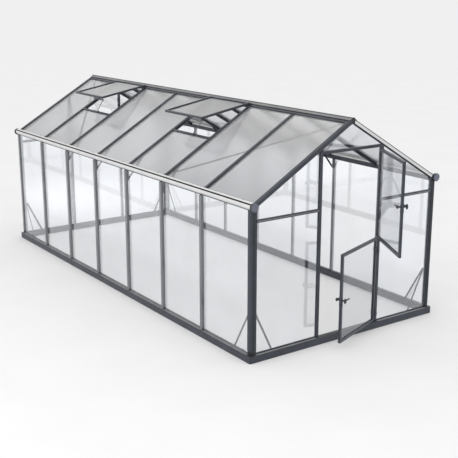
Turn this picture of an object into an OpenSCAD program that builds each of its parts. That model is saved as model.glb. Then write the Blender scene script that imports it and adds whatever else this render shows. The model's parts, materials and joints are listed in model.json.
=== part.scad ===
// Glass greenhouse: powder-coated aluminium frame, glazed walls and roof, and a door in two leaves.
// X runs across the gable, Y runs from the door gable (-Y) to the rear gable, Z is up.
// The origin is on the ground, in the middle of the footprint.

/* [Plan] */
// Distance between the glass planes of the two side walls
glass_w = 2316; // [2100:2:2600]
// Spacing of the glazing bars along the side walls
bay = 740; // [650:5:800]
// Spacing from the last glazing bar to the gable glass
end_bay = 792; // [700:2:850]
// Number of full bays between the two end bays
full_bays = 5; // [3:1:7]

/* [Roof] */
// Height of the point where the two roof planes meet
apex_z = 2166; // [2100:2:2300]
// Slope of the roof
pitch = 30.5; // [28:0.5:33]
// Height of the top of the side walls
wall_top = 1438; // [1420:1:1450]
// Length of a roof pane along the slope, from the ridge
roof_len = 1308.5; // [1307:0.5:1309]

/* [Base] */
// Height of the base frame
sill_h = 70; // [60:5:100]
// How far the base frame stands outside the glass
sill_out = 35; // [30:1:45]
// How far the base frame stands inside the glass
sill_in = 25; // [22:1:30]
// Wall thickness of the hollow base frame
sill_wall = 3; // [2:0.5:4]
// Chamfer on the outer corners and top edge of the base frame
sill_chamfer = 10; // [4:1:14]

/* [Glass] */
// Thickness of the glass
glass_t = 4; // [3:0.5:4]
// Clearance between the glass and the metal around it
glass_gap = 1; // [0.5:0.25:1.5]

/* [Glazing bars] */
// Wall thickness of the bars' covers, and of the lips that hold the glass
cap_t = 3; // [2:0.5:4]
// Width of a wall bar's cover
wall_bar_w = 34; // [28:1:40]
// How far a wall bar's cover stands outside the middle of the glass
wall_cover = 28; // [20:1:32]
// Width of a roof bar
roof_bar_w = 34; // [28:1:40]
// Depth of the middle of the roof glass under the top of the bars
roof_glass_d = 12; // [10:1:14]
// Depth of the tab that carries a knee brace, on the inside of a wall bar
knee_tab = 16; // [12:1:20]
// Length of the tab
knee_tab_h = 120; // [110:5:140]
// Depth of a roof bar's web, under the glass
roof_web = 25; // [20:1:30]
// Thickness of the webs
web_t = 4; // [3:0.5:5]
// Height of the inner lip along the base frame
lip_h = 12; // [8:1:16]
// Height of the outer lip along the base frame
outer_lip_h = 6; // [4:1:10]

/* [Corners] */
// Side of a corner post
post_size = 50; // [44:1:60]
// Radius of a post's outer corner
post_round = 22; // [10:1:24]
// How far a post stands outside the glass
post_out = 14; // [12:1:18]
// Height of the foot under a post
foot_h = 38; // [20:1:50]

/* [Gables] */
// Width of a gable rafter, along the building
rafter_w = 40; // [36:1:48]
// Depth of a gable rafter, across the slope
rafter_d = 36; // [30:1:44]
// Height of the middle of the gable rails
rail_z = 1335; // [1200:5:1380]
// Height of a gable rail
rail_h = 26; // [22:1:30]
// Depth of a gable rail, along the building
rail_d = 25; // [20:1:28]

/* [Eaves] */
// Radius of the gutter
gutter_r = 33.5; // [30:0.5:34]
// Radius of the gutter's end caps
gutter_cap_r = 38; // [34:1:38]
// Width of the slot in the gutter
gutter_slot = 10; // [6:1:12]
// Height of the slot above the horizontal, as an angle at the gutter's middle
gutter_slot_angle = 39; // [20:1:45]

/* [Door] */
// Sideways shift of the door from the middle
door_shift = 15; // [0:1:20]
// Side of a door post
door_post = 28; // [26:1:32]
// Width of a leaf
leaf_w = 732; // [725:1:734]
// Thickness of a leaf
leaf_t = 24; // [20:1:24]
// Width of a leaf's stiles and rails
leaf_bar = 26; // [24:1:30]
// Lower edge of the lower leaf
leaf_low = 78; // [76:1:85]
// Upper edge of the lower leaf
leaf_split = 955; // [850:5:1050]
// Gap between the two leaves
leaf_split_gap = 8; // [6:1:12]
// Upper edge of the upper leaf
leaf_top = 1853; // [1845:1:1853]
// How far the lower leaf stands open
lower_open = 20.5; // [0:0.5:165]
// How far the upper leaf stands open
upper_open = 62.5; // [0:0.5:165]
// Height of the lower leaf's lever
lower_lever_z = 506; // [400:2:700]
// Height of the upper leaf's lever
upper_lever_z = 1440; // [1300:2:1500]

/* [Roof vents] */
// How far the vents stand open from the roof
vent_open = 20.3; // [5:0.1:35]
// Length of a vent along the slope
vent_len = 624; // [560:2:640]
// Width of the bars of a vent
vent_bar = 22; // [18:1:26]

/* [Hidden] */
$fn = 48;

half_w = glass_w / 2;
half_l = full_bays * bay / 2 + end_bay;
sin_p = sin(pitch);
cos_p = cos(pitch);

// glazing bar lines along the building, the inner ones, which have knee braces,
// and the bays that hold a vent in the left slope
lines = [for (i = [0:full_bays]) (i - full_bays / 2) * bay];
knee_lines = [for (i = [1:full_bays - 1]) lines[i]];
vent_bays = [1, full_bays - 1];
bar_gap = 6;
glass_clear = glass_t / 2 + glass_gap;

// the lips lie from glass_clear to glass_clear + cap_t on each side of the glass plane
lip_far = glass_clear + cap_t;

// depths in the roof: middle of the glass, underside of the lips, underside of the webs
roof_glass_w = -roof_glass_d;
roof_lip_w = roof_glass_w - lip_far;
roof_web_w = roof_lip_w - roof_web;
wall_lip_w = 22;
sill_lip_z = sill_h + lip_h;
pane_low = sill_h + 4;
pane_edge = bar_gap / 2 + glass_gap;
groove_d = 8;

// corner post, in its own quarter
post_x = half_w + post_out;
post_y = half_l + post_out;
post_in_x = post_x - post_size;
post_in_y = post_y - post_size;
post_lip = 14;
post_wall = 3;

// gable rafter and ridge
rafter_mid = half_l + 2;
rafter_inner = rafter_mid - rafter_w / 2;
rafter_outer = rafter_mid + rafter_w / 2;
rafter_wall = 2.5;
rafter_lip = 10;
ridge_start = 20;
ridge_r = 13;
ridge_z = apex_z - 8;
ridge_flange = 48;
ridge_foot_z = ridge_z - 62;
gable_bar_w = -rafter_d - rafter_lip;
gable_pane_w = -rafter_d - glass_gap;

// eave beam and gutter
eave_x = half_w - 49;
eave_t = 4;
eave_foot_in = 4;
eave_foot_out = 57;
eave_foot_t = 5;
eave_top = wall_top + 49;
eave_end_y = half_l + 15;
gutter_x = half_w - 5;
gutter_wall = 2;
gutter_z = wall_top + eave_foot_t + 1 + gutter_r;
gutter_cap_t = 26;

// door
door_half = glass_w / 6;
door_left = door_shift - door_half + door_post / 2;
door_right = door_shift + door_half - door_post / 2;
door_y = -half_l - door_post / 2;
header_z = leaf_top + 6;
header_h = 26;
hinge_x = door_right - 3;
hinge_y = door_y - 8;
hinge_r = 6;
hinge_pin = 3;
hinge_bore = 3.3;
hinge_len = 36;
hinge_plate = 3;
hinge_inset = 95;
leaf_right = door_right - 6;
leaf_left = leaf_right - leaf_w;
lever_x = leaf_left + 11;
lever_reach = 120;
lever_off = 50;
spindle_r = 5;
spindle_bore = 5.5;

// vents, in the slope's own frame
vent_hinge_u = 52;
vent_hinge_w = 8;
vent_y = bay - 14;
vent_floor = -7;
vent_start = 4;
transom_u = 652;
transom_b = 24;

frame_colour = [0.24, 0.25, 0.27];
foot_colour = [0.07, 0.07, 0.08];
gutter_colour = [0.82, 0.83, 0.84];
brace_colour = [0.72, 0.73, 0.75];
wall_glass = [0.85, 0.92, 0.93, 0.35];
roof_glass = [0.80, 0.83, 0.84, 0.6];

// ---- helpers ----

// height of a line parallel to the roof, at offset w from the roof plane and at distance x from the middle
function roof_z(x, w) = apex_z + (w - abs(x) * sin_p) / cos_p;

// slope frame of the right-hand slope: x is down the slope, z is off it
module slope() {
  translate([0, 0, apex_z]) rotate([0, pitch, 0]) children();
}

// extrude a profile, drawn as (y, z), from u0 to u1 along x
module along_x(u0, u1) {
  translate([u0, 0, 0]) rotate([90, 0, 90]) linear_extrude(u1 - u0) children();
}

// extrude a profile, drawn as (x, z), from y0 to y1 along y
module along_y(y0, y1) {
  translate([0, y1, 0]) rotate([90, 0, 0]) linear_extrude(y1 - y0) children();
}

module each_side() {
  children();
  mirror([1, 0, 0]) children();
}

module each_end() {
  children();
  mirror([0, 1, 0]) children();
}

// rectangle between two corners
module rect(a, b) {
  translate(a) square(b - a);
}

// box between two corners
module block(a, b) {
  translate(a) cube(b - a);
}

// flat bar with round ends from p to q, drawn in 2D
module strap(p, q, w) {
  d = q - p;
  translate(p) rotate(atan2(d[1], d[0])) {
    translate([0, -w / 2]) square([norm(d), w]);
    circle(w / 2);
    translate([norm(d), 0]) circle(w / 2);
  }
}

// round bar from p to q
module rod(p, q, r) {
  d = q - p;
  translate(p) rotate([0, acos(d[2] / norm(d)), atan2(d[1], d[0])]) cylinder(h = norm(d), r = r);
}

// hollow cover over a glazing bar, w wide, from a to b along the first axis
module cover(w, a, b) {
  difference() {
    rect([a, -w / 2], [b, w / 2]);
    rect([a + cap_t, -w / 2 + cap_t], [b - cap_t, w / 2 - cap_t]);
  }
}

// bar between two wall panes: x of the profile is outwards, from the glass plane
module wall_bar_profile() {
  cover(wall_bar_w, glass_clear, wall_cover);
  rect([-glass_clear, -bar_gap / 2], [glass_clear, bar_gap / 2]);
  rect([-lip_far, -wall_lip_w / 2], [-glass_clear, wall_lip_w / 2]);
}

// wall bar up to z1, with a foot outside the lip of the base frame
module wall_bar(z1) {
  translate([0, 0, sill_lip_z]) linear_extrude(z1 - sill_lip_z) wall_bar_profile();
  translate([0, 0, sill_h]) linear_extrude(lip_h + cap_t)
    rect([lip_far + 1, -wall_bar_w / 2], [wall_cover, wall_bar_w / 2]);
}

// lips inside and outside the glass, from a to b along the second axis
module inner_lip(a, b) {
  rect([-lip_far, a], [-glass_clear, b]);
}

module lips(a, b) {
  rect([glass_clear, a], [lip_far, b]);
  inner_lip(a, b);
}

// everything in a gable below a line parallel to the roof
module below_roof(w) {
  along_y(-half_l - 100, half_l + 100)
    polygon([[-half_w, 0], [half_w, 0], [half_w, roof_z(half_w, w)], [0, roof_z(0, w)],
             [-half_w, roof_z(half_w, w)]]);
}

// ---- base ----

module base_outline(out, chamfer) {
  x = half_w + out;
  y = half_l + out;
  c = chamfer;
  polygon([[-x + c, -y], [x - c, -y], [x, -y + c], [x, y - c],
           [x - c, y], [-x + c, y], [-x, y - c], [-x, -y + c]]);
}

module base_ring(out, inside, z0, z1, chamfer) {
  translate([0, 0, z0]) linear_extrude(z1 - z0) difference() {
    base_outline(out, chamfer);
    rect([-half_w + inside, -half_l + inside], [half_w - inside, half_l - inside]);
  }
}

// upstands along one edge of the base frame: both lips to the lower height, the inner one to the full height
module edge_lips(a, b) {
  linear_extrude(outer_lip_h) lips(a, b);
  linear_extrude(lip_h) inner_lip(a, b);
}

module base_lips() {
  each_side() translate([half_w, 0, sill_h]) edge_lips(-post_in_y, post_in_y);
  translate([0, half_l, sill_h]) rotate(90) edge_lips(-post_in_x, post_in_x);
  translate([0, -half_l, sill_h]) rotate(-90) {
    edge_lips(door_right + door_post, post_in_x);
    edge_lips(-post_in_x, door_left - door_post);
  }
}

module base_frame() {
  color(frame_colour) {
    difference() {
      base_ring(sill_out, sill_in, 0, sill_h, sill_chamfer);
      base_ring(sill_out - sill_wall, sill_in - sill_wall, sill_wall, sill_h - sill_wall, sill_chamfer);
    }
    base_lips();
  }
}

// ---- corner posts ----

// square with its outer corner rounded, in the quarter where x and y are positive
module post_outline(inset, r) {
  a = [post_in_x + inset, post_in_y + inset];
  b = [post_x - inset, post_y - inset];
  rect(a, [b[0], b[1] - r]);
  rect(a, [b[0] - r, b[1]]);
  translate([b[0] - r, b[1] - r]) circle(r);
}

module corner_post() {
  translate([0, 0, sill_h + foot_h]) linear_extrude(wall_top - sill_h - foot_h) {
    difference() {
      post_outline(0, post_round);
      post_outline(post_wall, post_round - post_wall);
    }
    translate([half_w, 0]) lips(post_in_y - post_lip, post_in_y);
    translate([0, half_l]) rotate(90) lips(-post_in_x, -post_in_x + post_lip);
  }
}

module corner_posts() {
  color(frame_colour) each_side() each_end() corner_post();
}

module corner_feet() {
  color(foot_colour) each_side() each_end()
    translate([0, 0, sill_h]) linear_extrude(foot_h) post_outline(2, post_round - 2);
}

// ---- eaves ----

// web standing on a foot flange
module eave_profile() {
  foot_top = wall_top + eave_foot_t;
  polygon([[eave_x - eave_foot_in, wall_top], [eave_x + eave_foot_out, wall_top],
           [eave_x + eave_foot_out, foot_top], [eave_x + eave_t, foot_top],
           [eave_x + eave_t, eave_top], [eave_x, eave_top],
           [eave_x, foot_top], [eave_x - eave_foot_in, foot_top]]);
}

module eave_beam_right() {
  color(frame_colour) along_y(-eave_end_y, eave_end_y) eave_profile();
}

module eave_beam_left() {
  mirror([1, 0, 0]) eave_beam_right();
}

module gutter_profile() {
  difference() {
    union() {
      circle(gutter_r);
      rect([-8, -gutter_r - 1], [8, -gutter_r + 1.8]);
    }
    circle(gutter_r - gutter_wall);
    rotate(gutter_slot_angle) rect([gutter_r / 2, -gutter_slot / 2], [gutter_r * 2, gutter_slot / 2]);
  }
}

module gutter_right() {
  color(gutter_colour) translate([gutter_x, 0, gutter_z]) along_y(-eave_end_y, eave_end_y) gutter_profile();
}

module gutter_left() {
  mirror([1, 0, 0]) gutter_right();
}

module gutter_end_caps() {
  color(frame_colour) each_side() each_end()
    translate([gutter_x + 2, 0, gutter_z - 5.5])
      along_y(eave_end_y, eave_end_y + gutter_cap_t) circle(gutter_cap_r);
}

// ---- ridge ----

module ridge_cap_profile() {
  translate([0, ridge_z]) circle(ridge_r);
  each_side() translate([0, apex_z]) rotate(-pitch) rect([8, 0], [ridge_flange, 4]);
}

module ridge_beam() {
  color(frame_colour) {
    along_y(-rafter_outer + 6, rafter_outer - 6) ridge_cap_profile();
    along_y(-rafter_inner, rafter_inner) {
      rect([-web_t / 2, ridge_foot_z + 1], [web_t / 2, ridge_z]);
      rect([-14, ridge_foot_z], [14, ridge_foot_z + web_t]);
    }
  }
}

module ridge_end_caps() {
  color(foot_colour) each_end() {
    along_y(rafter_outer - 6, rafter_outer + 4) translate([0, ridge_z]) circle(ridge_r + 2);
    along_y(rafter_outer, rafter_outer + 3) {
      translate([0, ridge_z - 34]) circle(14);
      rect([-14, ridge_z - 34], [14, ridge_z]);
    }
  }
}

// ---- rafters of the gables ----

module rafter_outline(inset) {
  a = rafter_w / 2 - inset;
  r = 6 - inset / 2;
  rect([-a, -rafter_d + inset], [a, -r - inset]);
  rect([-a + r, -rafter_d + inset], [a - r, -inset]);
  for (s = [-1, 1]) translate([s * (a - r), -r - inset]) circle(r);
}

// a is outwards along the building, b is off the slope
module rafter_profile() {
  difference() {
    union() {
      rafter_outline(0);
      translate([0, roof_glass_w]) rotate(90) lips(0, rafter_w / 2 + rafter_lip);
      translate([half_l - rafter_mid, 0]) lips(-rafter_d - rafter_lip, -rafter_d + 1);
    }
    rafter_outline(rafter_wall);
  }
}

// rafter of the rear gable, on the right
module rafter() {
  color(frame_colour) difference() {
    slope() translate([0, rafter_mid, 0]) along_x(ridge_start, roof_len) rafter_profile();
    block([-100, 0, apex_z - 200], [0, half_l + 100, apex_z + 50]);
    block([eave_x, 0, wall_top - 50], [half_w, half_l + 100, eave_top]);
  }
}

module rear_rafter_right() { rafter(); }
module rear_rafter_left() { mirror([1, 0, 0]) rafter(); }
module front_rafter_right() { mirror([0, 1, 0]) rafter(); }
module front_rafter_left() { mirror([1, 0, 0]) mirror([0, 1, 0]) rafter(); }

// ---- glazing bars of the walls and roof ----

module wall_bars_right() {
  color(frame_colour) {
    for (y = lines) translate([half_w, y, 0]) wall_bar(wall_top);
    for (y = knee_lines) translate([half_w - lip_far - knee_tab, y, wall_top - knee_tab_h])
      block([0, -web_t / 2, 0], [knee_tab, web_t / 2, knee_tab_h]);
  }
}

module wall_bars_left() {
  mirror([1, 0, 0]) wall_bars_right();
}

module roof_bar() {
  translate([0, 0, roof_glass_w]) along_x(ridge_start, roof_len) {
    rotate(90) cover(roof_bar_w, glass_clear, roof_glass_d);
    rect([-bar_gap / 2, -glass_clear], [bar_gap / 2, glass_clear]);
    rect([-roof_bar_w / 2, -lip_far], [roof_bar_w / 2, -glass_clear]);
  }
}

// the webs of the roof bars run down to the eave beam
module roof_bars_right() {
  color(frame_colour) for (y = lines) translate([0, y, 0]) {
    slope() roof_bar();
    difference() {
      slope() along_x(ridge_start + 10, roof_len) rect([-web_t / 2, roof_web_w], [web_t / 2, roof_lip_w]);
      block([eave_x, -web_t, wall_top], [half_w, web_t, apex_z]);
    }
  }
}

module roof_bars_left() {
  mirror([1, 0, 0]) roof_bars_right();
}

// ---- gable frames ----

module rail_profile() {
  difference() {
    square([rail_d, rail_h], center = true);
    for (s = [-1, 1]) translate([0, s * rail_h / 2]) square([2 * glass_clear, 2 * groove_d], center = true);
  }
}

// rail in a gable, from x0 to x1
module rail(x0, x1) {
  translate([0, 0, rail_z]) along_x(x0, x1) rail_profile();
}

module door_post(x, side) {
  groove_x = x + side * door_post / 2;
  difference() {
    block([x - door_post / 2, door_y, sill_h], [x + door_post / 2, door_y + door_post, apex_z]);
    block([groove_x - groove_d, -half_l - glass_clear, sill_h - 1],
          [groove_x + groove_d, -half_l + glass_clear, apex_z + 1]);
    block([x - side * door_post / 2 - groove_d, -half_l - glass_clear, header_z + header_h - groove_d],
          [x - side * door_post / 2 + groove_d, -half_l + glass_clear, apex_z + 1]);
  }
}

module door_frame() {
  color(frame_colour) intersection() {
    union() {
      door_post(door_left - door_post / 2, -1);
      door_post(door_right + door_post / 2, 1);
      difference() {
        block([door_left, door_y, header_z], [door_right, door_y + door_post, header_z + header_h]);
        block([door_left - 1, -half_l - glass_clear, header_z + header_h - groove_d],
              [door_right + 1, -half_l + glass_clear, header_z + header_h + 1]);
      }
    }
    below_roof(gable_bar_w);
  }
}

module front_gable_rails() {
  color(frame_colour) translate([0, -half_l, 0]) {
    rail(-post_in_x + post_lip, door_left - door_post);
    rail(door_right + door_post, post_in_x - post_lip);
  }
}

module rear_gable_bars() {
  color(frame_colour) {
    translate([0, half_l, 0]) rail(-post_in_x + post_lip, post_in_x - post_lip);
    intersection() {
      each_side() translate([door_half, half_l, 0]) rotate(90) wall_bar(apex_z);
      below_roof(gable_bar_w);
    }
  }
}

// ---- braces ----

module knee_braces() {
  foot = [half_w - 18, 1335];
  head = [half_w - 203, 1566];
  color(brace_colour) each_side() for (y = knee_lines)
    along_y(y + web_t / 2, y + web_t / 2 + 3) strap(foot, head, 20);
}

// flat bar under the roof, from the ridge near the gable to the lower end of the second roof bar
module roof_braces() {
  low = [roof_len - 98.5, lines[full_bays - 1]];
  high = [0, half_l - 30];
  color(brace_colour) each_side() each_end() difference() {
    slope() translate([0, 0, roof_web_w - 3]) linear_extrude(3) strap(low, high, 20);
    block([-100, 0, apex_z - 200], [web_t / 2, half_l + 100, apex_z + 50]);
  }
}

// brace beside a wall, from the post down to the base frame's inner face, reach away from the post
module corner_brace_profile(reach) {
  head = [19, 480];
  strap(head, [reach, 15], 20);
  rect([0, head[1] - 8], [head[0], head[1] + 8]);
}

module base_corner_braces() {
  wall_at = half_w - sill_in - 3;
  gable_at = half_l - sill_in - 3;
  color(brace_colour) each_side() each_end() {
    translate([wall_at, post_in_y, 0]) mirror([0, 1, 0]) along_x(0, 3) corner_brace_profile(285);
    translate([post_in_x, 0, 0]) mirror([1, 0, 0]) along_y(gable_at, gable_at + 3) corner_brace_profile(245);
  }
}

// ---- glass ----

// start and end of each pane along the building, in wall and roof
wall_end = post_in_y - glass_gap + pane_edge;
wall_cuts = concat([-wall_end], lines, [wall_end]);
roof_cuts = concat([-rafter_inner + glass_gap - pane_edge], lines, [rafter_inner - glass_gap + pane_edge]);

module wall_panes_right() {
  color(wall_glass) for (i = [0:len(wall_cuts) - 2])
    block([half_w - glass_t / 2, wall_cuts[i] + pane_edge, pane_low],
          [half_w + glass_t / 2, wall_cuts[i + 1] - pane_edge, wall_top - glass_gap]);
}

module wall_panes_left() {
  mirror([1, 0, 0]) wall_panes_right();
}

module roof_pane(i, u0) {
  slope() block([u0, roof_cuts[i] + pane_edge, roof_glass_w - glass_t / 2],
                [roof_len, roof_cuts[i + 1] - pane_edge, roof_glass_w + glass_t / 2]);
}

function has_vent(i) = len([for (v = vent_bays) if (v + 1 == i) v]) > 0;

module roof_panes_right() {
  color(roof_glass) for (i = [0:len(roof_cuts) - 2]) roof_pane(i, ridge_start);
}

module roof_panes_left() {
  color(roof_glass) mirror([1, 0, 0]) for (i = [0:len(roof_cuts) - 2])
    roof_pane(i, has_vent(i) ? transom_u + transom_b - groove_d + glass_gap : ridge_start);
}

// gable pane from x0 to x1 and from z0 upwards to z1, trimmed to the roof and to the eave beam
module gable_pane(x0, x1, z0, z1) {
  intersection() {
    block([x0, -half_l - glass_t / 2, z0], [x1, -half_l + glass_t / 2, z1]);
    difference() {
      below_roof(gable_pane_w);
      each_side() block([eave_x - eave_foot_in - glass_gap, -half_l - 50, wall_top - glass_gap],
                        [half_w + 50, -half_l + 50, apex_z]);
    }
  }
}

rail_low = rail_z - rail_h / 2 + groove_d - glass_gap;
rail_high = rail_z + rail_h / 2 - groove_d + glass_gap;
post_edge = post_in_x - glass_gap;

module front_gable_panes() {
  in_post = door_post - groove_d + glass_gap;
  color(wall_glass) {
    for (z = [[pane_low, rail_low], [rail_high, apex_z]]) {
      gable_pane(-post_edge, door_left - in_post, z[0], z[1]);
      gable_pane(door_right + in_post, post_edge, z[0], z[1]);
    }
    gable_pane(door_left - groove_d + glass_gap, door_right + groove_d - glass_gap,
               header_z + header_h - groove_d + glass_gap, apex_z);
  }
}

module rear_gable_panes() {
  cuts = [-post_edge - pane_edge, -door_half, door_half, post_edge + pane_edge];
  color(wall_glass) mirror([0, 1, 0]) for (i = [0:2])
    for (z = [[pane_low, rail_low], [rail_high, apex_z]])
      gable_pane(cuts[i] + pane_edge, cuts[i + 1] - pane_edge, z[0], z[1]);
}

// ---- roof vents, in the left slope ----

module each_vent() {
  mirror([1, 0, 0]) slope() for (b = vent_bays) translate([0, (lines[b] + lines[b + 1]) / 2, 0]) children();
}

// frame of an opened vent: x runs from the hinge to the lower edge, z is off the glass
module opened() {
  translate([vent_hinge_u, 0, vent_hinge_w]) rotate([0, -vent_open, 0]) children();
}

module vent_transoms() {
  half = bay / 2 - roof_bar_w / 2;
  color(frame_colour) each_vent() along_y(-half, half) difference() {
    rect([transom_u, -24], [transom_u + transom_b, 0]);
    translate([transom_u + transom_b, roof_glass_w]) rect([-groove_d, -glass_clear], [1, glass_clear]);
  }
}

module vent_frames() {
  b = vent_bar;
  mid = vent_floor + b / 2;
  color(frame_colour) each_vent() opened() {
    difference() {
      block([vent_start, -vent_y / 2, vent_floor], [vent_start + vent_len, vent_y / 2, vent_floor + b]);
      block([vent_start + b, -vent_y / 2 + b, vent_floor - 1],
            [vent_start + vent_len - b, vent_y / 2 - b, vent_floor + b + 1]);
      block([vent_start + b - groove_d, -vent_y / 2 + b - groove_d, mid - glass_clear],
            [vent_start + vent_len - b + groove_d, vent_y / 2 - b + groove_d, mid + glass_clear]);
    }
    along_y(-vent_y / 2, vent_y / 2) circle(5);
  }
}

module vent_panes() {
  b = vent_bar - groove_d + glass_gap;
  mid = vent_floor + vent_bar / 2;
  color(roof_glass) each_vent() opened()
    block([vent_start + b, -vent_y / 2 + b, mid - glass_t / 2],
          [vent_start + vent_len - b, vent_y / 2 - b, mid + glass_t / 2]);
}

// cylinder opener under the lower rail of each vent, with an arm down to the transom
module vent_openers() {
  tube = [606, -30];
  tube_y = [-348, -94];
  arm_top = [vent_hinge_u, 0, vent_hinge_w] + [turn_u(tube), tube_y[0] + 12, turn_w(tube)];
  arm_foot = [transom_u + 30, -62, 6];
  color(brace_colour) each_vent() {
    opened() {
      translate([tube[0], 0, tube[1]]) along_y(tube_y[0], tube_y[1]) circle(8);
      for (y = [tube_y[0] + 30, tube_y[1] - 30]) along_y(y, y + 3)
        rect([tube[0] - 7, tube[1]], [tube[0] + 7, vent_floor]);
    }
    rod(arm_top, arm_foot, 4);
    translate([0, arm_foot[1] - 8, 0]) along_y(0, 16) rect([transom_u + 4, 0], [arm_foot[0] + 8, 10]);
  }
}

// a point of an opened vent, turned into the slope's frame, relative to the hinge
function turn_u(p) = p[0] * cos(vent_open) - p[1] * sin(vent_open);
function turn_w(p) = p[0] * sin(vent_open) + p[1] * cos(vent_open);

// ---- door ----

lower_z = [leaf_low, leaf_split];
upper_z = [leaf_split + leaf_split_gap, leaf_top];

// a leaf drawn closed is turned open about its hinges
module swung(angle) {
  translate([hinge_x, hinge_y, 0]) rotate(angle) translate([-hinge_x, -hinge_y, 0]) children();
}

function hinge_heights(z) = [z[0] + hinge_inset, z[1] - hinge_inset - hinge_len];

module leaf_frame(z, lever_z) {
  b = leaf_bar;
  y0 = door_y;
  y1 = door_y + leaf_t;
  mid = (y0 + y1) / 2;
  difference() {
    block([leaf_left, y0, z[0]], [leaf_right, y1, z[1]]);
    block([leaf_left + b, y0 - 1, z[0] + b], [leaf_right - b, y1 + 1, z[1] - b]);
    block([leaf_left + b - groove_d, mid - glass_clear, z[0] + b - groove_d],
          [leaf_right - b + groove_d, mid + glass_clear, z[1] - b + groove_d]);
    translate([lever_x, y1 + 1, lever_z]) rotate([90, 0, 0]) cylinder(h = leaf_t + 2, r = spindle_bore);
  }
}

module leaf_pane(z) {
  b = leaf_bar - groove_d + glass_gap;
  mid = door_y + leaf_t / 2;
  block([leaf_left + b, mid - glass_t / 2, z[0] + b], [leaf_right - b, mid + glass_t / 2, z[1] - b]);
}

// the leaf's half of each hinge, with a bore for the pin
module leaf_hinges(z) {
  for (h = hinge_heights(z)) difference() {
    union() {
      translate([hinge_x, hinge_y, h]) cylinder(h = hinge_len, r = hinge_r);
      block([leaf_right - 45, door_y - hinge_plate, h], [hinge_x, door_y, h + hinge_len]);
    }
    translate([hinge_x, hinge_y, h - 1]) cylinder(h = hinge_len + 2, r = hinge_bore);
  }
}

// the door post's half of each hinge, with the pin
module door_hinges() {
  color(frame_colour) for (z = [lower_z, upper_z]) for (h = hinge_heights(z)) {
    translate([hinge_x, hinge_y, h - hinge_len - 1]) cylinder(h = hinge_len, r = hinge_r);
    translate([hinge_x, hinge_y, h - 2]) cylinder(h = hinge_len - 4, r = hinge_pin);
    block([hinge_x, door_y - hinge_plate, h - hinge_len - 1], [door_right + door_post, door_y, h - 1]);
  }
}

// spindle through the stile with a lever on each face
module leaf_lever(z) {
  mid = door_y + leaf_t / 2;
  reach = leaf_t / 2 + lever_off;
  translate([lever_x, mid, z]) {
    rotate([90, 0, 0]) translate([0, 0, -reach]) cylinder(h = 2 * reach, r = spindle_r);
    for (s = [-1, 1]) {
      translate([0, s * (leaf_t / 2 + 1 + 5), 0]) rotate([90, 0, 0]) cylinder(h = 10, r = 9, center = true);
      translate([0, s * (reach - 5), 0]) {
        rotate([90, 0, 0]) cylinder(h = 10, r = 9, center = true);
        translate([0, -5, -8]) cube([lever_reach - 8, 10, 16]);
        translate([lever_reach - 8, 5, 0]) rotate([90, 0, 0]) cylinder(h = 10, r = 8);
      }
    }
  }
}

module lower_leaf_frame() { color(frame_colour) swung(lower_open) leaf_frame(lower_z, lower_lever_z); }
module lower_leaf_pane() { color(wall_glass) swung(lower_open) leaf_pane(lower_z); }
module lower_leaf_hinges() { color(frame_colour) swung(lower_open) leaf_hinges(lower_z); }
module lower_leaf_lever() { color(foot_colour) swung(lower_open) leaf_lever(lower_lever_z); }
module upper_leaf_frame() { color(frame_colour) swung(upper_open) leaf_frame(upper_z, upper_lever_z); }
module upper_leaf_pane() { color(wall_glass) swung(upper_open) leaf_pane(upper_z); }
module upper_leaf_hinges() { color(frame_colour) swung(upper_open) leaf_hinges(upper_z); }
module upper_leaf_lever() { color(foot_colour) swung(upper_open) leaf_lever(upper_lever_z); }

base_frame();
corner_feet();
corner_posts();
eave_beam_left();
eave_beam_right();
gutter_left();
gutter_right();
gutter_end_caps();
ridge_beam();
ridge_end_caps();
front_rafter_left();
front_rafter_right();
rear_rafter_left();
rear_rafter_right();
wall_bars_left();
wall_bars_right();
roof_bars_left();
roof_bars_right();
door_frame();
front_gable_rails();
rear_gable_bars();
knee_braces();
roof_braces();
base_corner_braces();
wall_panes_left();
wall_panes_right();
front_gable_panes();
rear_gable_panes();
roof_panes_left();
roof_panes_right();
vent_transoms();
vent_frames();
vent_panes();
vent_openers();
door_hinges();
lower_leaf_frame();
lower_leaf_pane();
lower_leaf_hinges();
lower_leaf_lever();
upper_leaf_frame();
upper_leaf_pane();
upper_leaf_hinges();
upper_leaf_lever();
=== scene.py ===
"""Glass greenhouse: the finishes, seals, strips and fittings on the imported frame, with a floor, a light and a camera.

Metres throughout. X runs across the gable, Y along the building with the door gable at -Y, Z is up.
"""

import json
import math

import bmesh
import bpy
from mathutils import Matrix, Vector


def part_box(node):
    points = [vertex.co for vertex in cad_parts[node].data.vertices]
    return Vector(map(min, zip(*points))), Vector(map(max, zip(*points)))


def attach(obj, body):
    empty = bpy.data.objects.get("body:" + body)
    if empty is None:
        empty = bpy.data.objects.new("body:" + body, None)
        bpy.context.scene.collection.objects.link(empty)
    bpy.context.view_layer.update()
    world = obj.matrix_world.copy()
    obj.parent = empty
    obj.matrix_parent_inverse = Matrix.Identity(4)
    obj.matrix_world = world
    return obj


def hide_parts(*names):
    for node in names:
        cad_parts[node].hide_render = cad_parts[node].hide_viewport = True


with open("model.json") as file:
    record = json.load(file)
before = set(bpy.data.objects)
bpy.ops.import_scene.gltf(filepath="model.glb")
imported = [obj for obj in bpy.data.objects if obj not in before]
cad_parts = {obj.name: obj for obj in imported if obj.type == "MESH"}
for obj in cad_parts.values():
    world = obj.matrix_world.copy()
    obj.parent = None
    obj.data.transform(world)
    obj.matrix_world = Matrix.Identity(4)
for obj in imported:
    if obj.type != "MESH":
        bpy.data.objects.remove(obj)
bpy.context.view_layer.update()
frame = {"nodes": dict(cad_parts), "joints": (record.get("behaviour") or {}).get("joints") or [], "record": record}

MM = 0.001
EAVE_HEIGHT = 1.5
RIDGE_HEIGHT = 2.1
GABLE_DISTANCE = 2.6
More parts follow.
